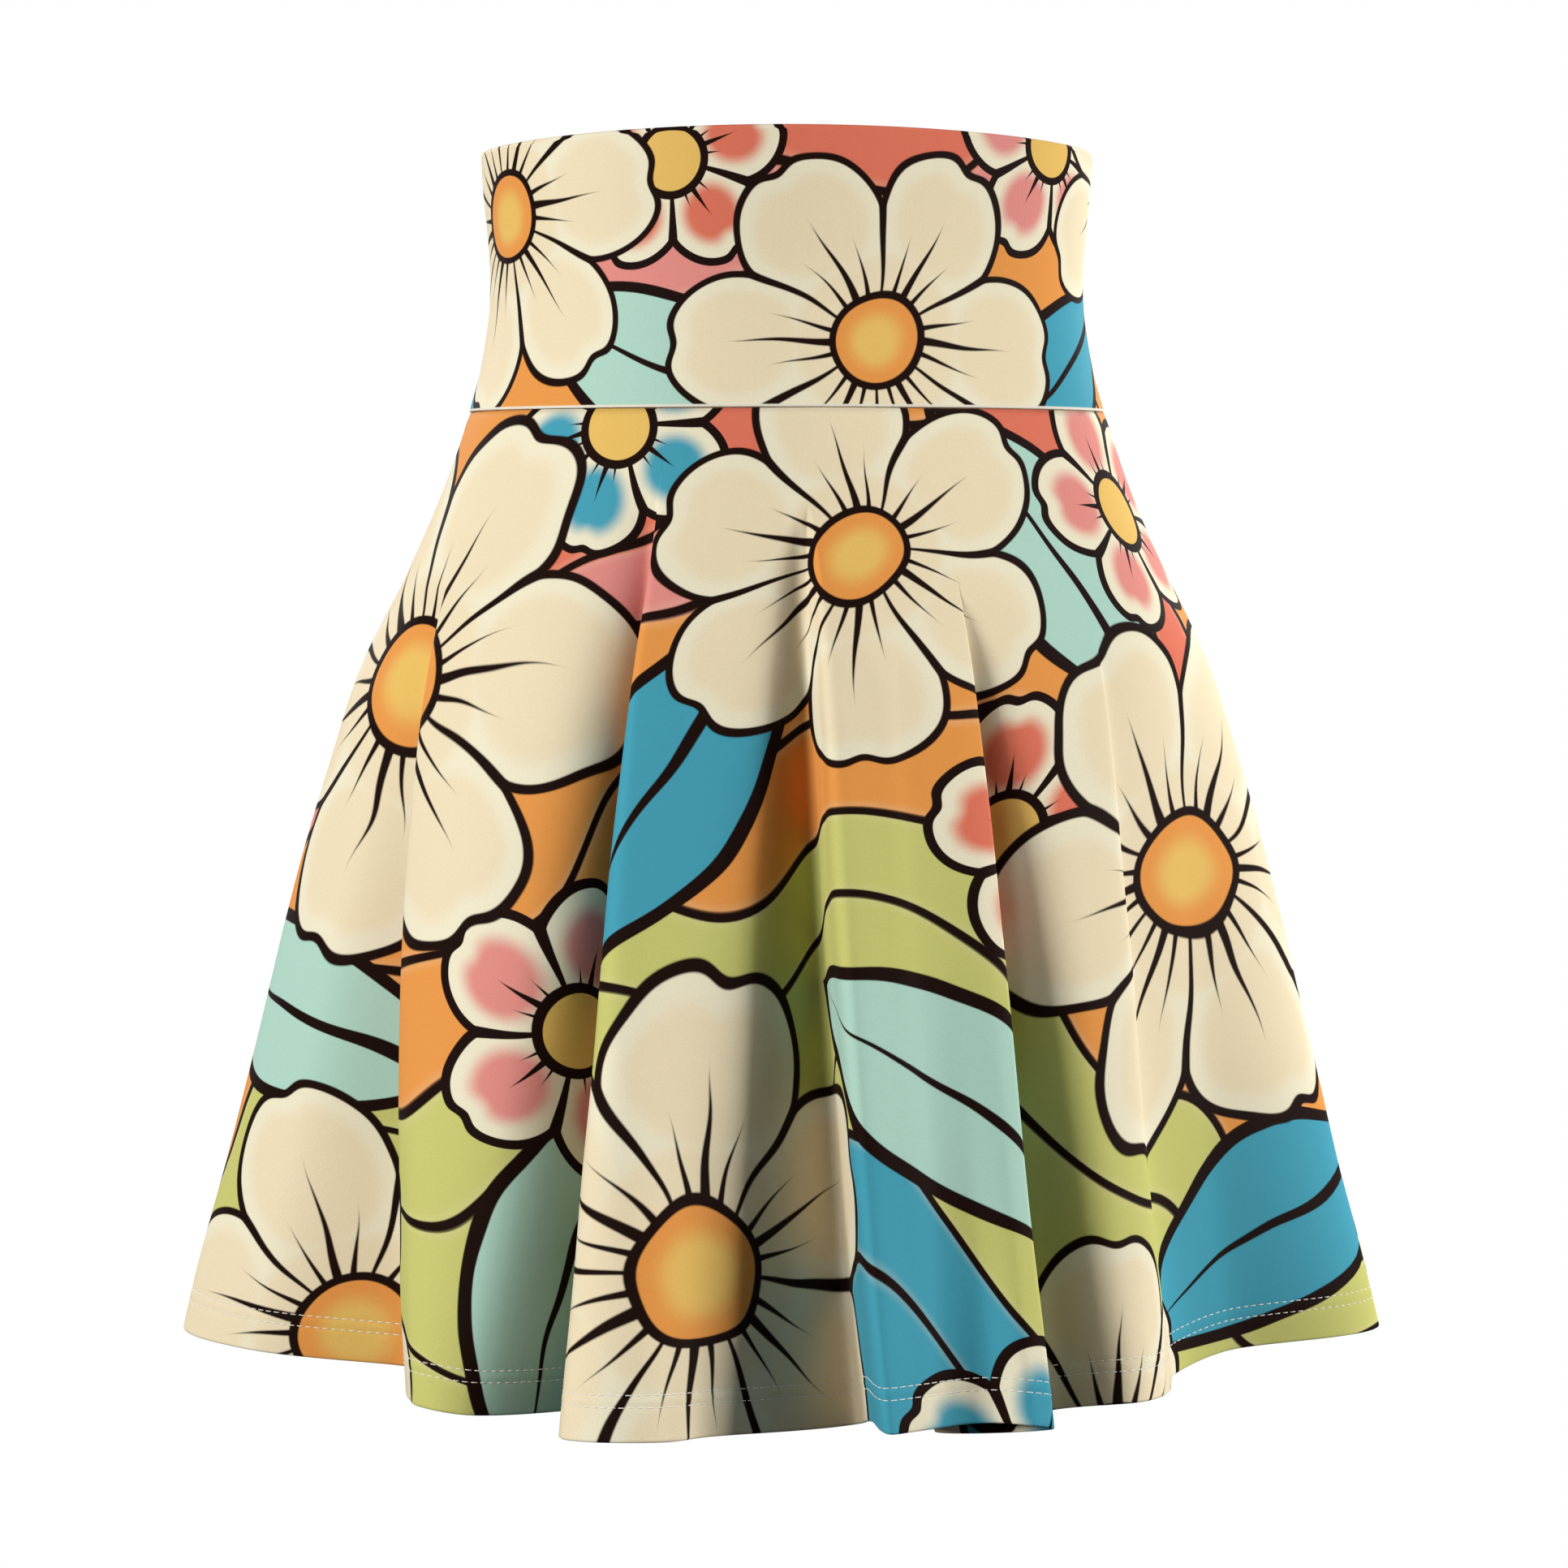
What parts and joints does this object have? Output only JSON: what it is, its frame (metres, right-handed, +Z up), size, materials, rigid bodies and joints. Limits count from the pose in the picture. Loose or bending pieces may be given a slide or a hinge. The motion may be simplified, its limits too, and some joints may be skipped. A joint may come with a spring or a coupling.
{
  "type": "circle skirt",
  "caption": "Short flared circle skirt with a wide fitted waistband, open at waist and hem, in the hollow form it takes when worn, its cloth hanging in deep soft folds.",
  "frame": {"origin": "middle of the waistband's narrowest ring, where the wearer's waist holds the skirt", "axes": "+Z up, -Y the front, +X the right as seen from the front"},
  "size_m": [0.4752, 0.3866, 0.4815],
  "materials": {
    "waistband": "smooth knit of polyester with elastane in two layers, printed with large flat flowers, soft low sheen",
    "skirt": "smooth knit of polyester with elastane, printed with large flat flowers that show through on the inside, soft low sheen"
  },
  "bodies": {
    "root": {"waistband_front": "waistband", "waistband_back": "waistband", "skirt_front": "skirt", "skirt_back": "skirt"}
  },
  "joints": []
}
